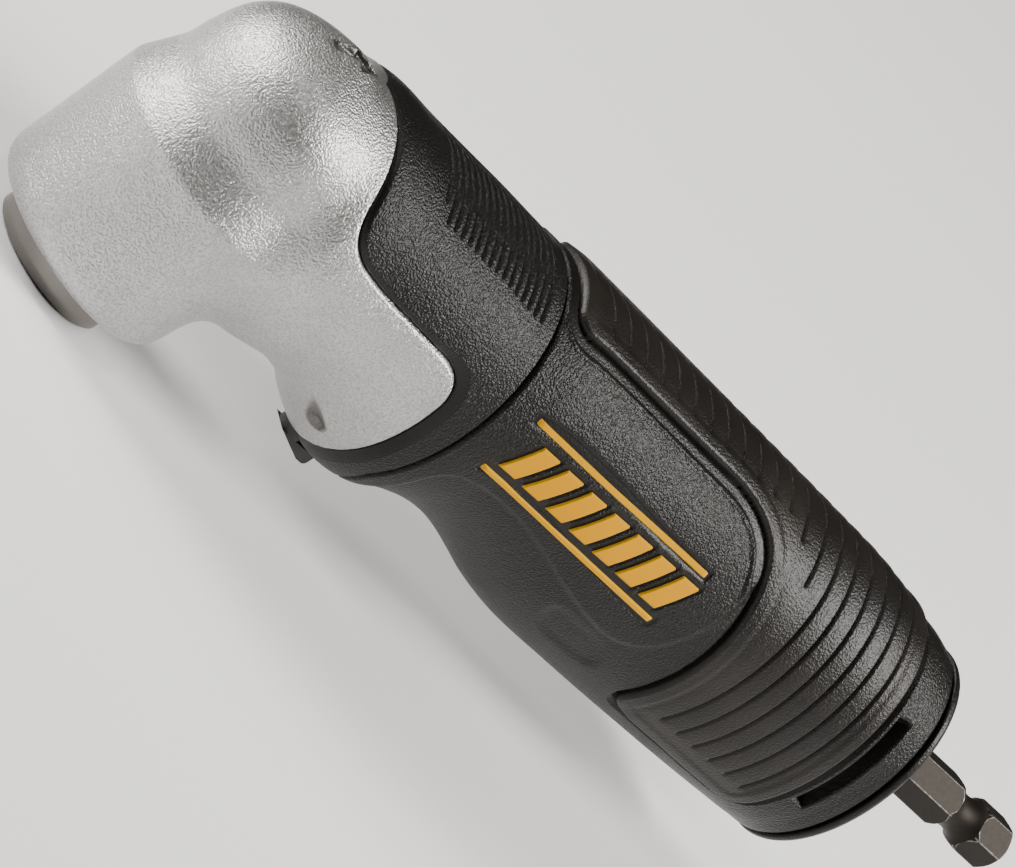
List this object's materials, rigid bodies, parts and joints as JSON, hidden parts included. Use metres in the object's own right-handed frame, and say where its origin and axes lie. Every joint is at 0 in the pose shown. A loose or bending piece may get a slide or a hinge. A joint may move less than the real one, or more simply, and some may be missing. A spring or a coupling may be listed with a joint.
{
  "type": "right angle drill attachment",
  "caption": "Right angle drive attachment: hex shank, soft-grip handle, cast head with bevel gears and a magnetic hex bit socket square to the shank.",
  "frame": {"origin": "centre of the mouth of the hex bit socket, on the output axis", "axes": "+X along the drive axis towards the tip of the hex shank, +Z along the output axis from the socket's mouth towards the top of the head, Y across the symmetrical sides"},
  "size_m": [0.1752, 0.0332, 0.0458],
  "materials": {
    "cast_aluminium": "sand textured die casting",
    "black_nylon": "fine grained",
    "soft_grip": "satin, grooved",
    "dark_steel": "phosphated, worn bright on the flats",
    "gear_steel": "oiled",
    "bearing_steel": "ground",
    "spring_steel": "oiled",
    "magnet": "nickel plated",
    "bronze": "sintered",
    "cage_brass": "pressed",
    "tube_steel": "zinc plated",
    "seal_rubber": "matt",
    "label": "printed film"
  },
  "bodies": {
    "housing": {"gear_head": "cast_aluminium", "nose_seal": "seal_rubber", "output_bearing_clip": "spring_steel", "output_outer_race": "bearing_steel", "spindle_top_bush": "bronze", "pinion_carrier": "tube_steel", "carrier_clip": "spring_steel", "pinion_outer_race": "bearing_steel", "pinion_bearing_clip": "spring_steel", "collar": "black_nylon", "coupling_tube": "tube_steel", "front_bush": "bronze", "rear_outer_race": "bearing_steel", "rear_bearing_clip": "spring_steel", "tail_seal": "seal_rubber", "handle_shell": "black_nylon", "rubber_grip": "soft_grip", "tail_cap": "black_nylon", "side_labels": "label"},
    "drive": {"input_shaft": "dark_steel", "pinion_shaft": "gear_steel", "pinion_shaft_clip": "spring_steel", "pinion_inner_race": "bearing_steel", "rear_inner_race": "bearing_steel"},
    "output": {"output_spindle": "dark_steel", "bit_magnet": "magnet", "crown_gear": "gear_steel", "spindle_clip": "spring_steel", "output_inner_race": "bearing_steel"},
    "output_rollers": {"output_balls": "bearing_steel", "output_ball_cage": "cage_brass"},
    "pinion_rollers": {"pinion_balls": "bearing_steel", "pinion_ball_cage": "cage_brass"},
    "rear_rollers": {"rear_balls": "bearing_steel", "rear_ball_cage": "cage_brass"},
    "latch": {"latch_button": "black_nylon", "latch_spring": "spring_steel"}
  },
  "joints": [
    {"name": "drive_spin", "type": "hinge", "parent": "housing", "child": "drive", "pos_m": [0.08, 0, 0.0268], "axis": [1, 0, 0], "continuous": true},
    {"name": "output_spin", "type": "hinge", "parent": "housing", "child": "output", "pos_m": [0, 0, 0.01], "axis": [0, 0, 1], "continuous": true},
    {"name": "output_rollers_spin", "type": "hinge", "parent": "housing", "child": "output_rollers", "pos_m": [0, 0, 0.0084], "axis": [0, 0, 1], "continuous": true},
    {"name": "pinion_rollers_spin", "type": "hinge", "parent": "housing", "child": "pinion_rollers", "pos_m": [0.0169, 0, 0.0268], "axis": [1, 0, 0], "continuous": true},
    {"name": "rear_rollers_spin", "type": "hinge", "parent": "housing", "child": "rear_rollers", "pos_m": [0.117, 0, 0.0268], "axis": [1, 0, 0], "continuous": true},
    {"name": "latch_press", "type": "slide", "parent": "housing", "child": "latch", "axis": [0, 0, 1], "range_m": [0, 0.0012], "stiffness_N_per_m": 400, "springref_m": -0.002, "deforming": ["latch_spring"]}
  ],
  "couplings": [
    {"joint": "output_spin", "follows": "drive_spin", "ratio": 0.75},
    {"joint": "output_rollers_spin", "follows": "drive_spin", "ratio": 0.3315},
    {"joint": "pinion_rollers_spin", "follows": "drive_spin", "ratio": 0.41},
    {"joint": "rear_rollers_spin", "follows": "drive_spin", "ratio": 0.4033}
  ]
}
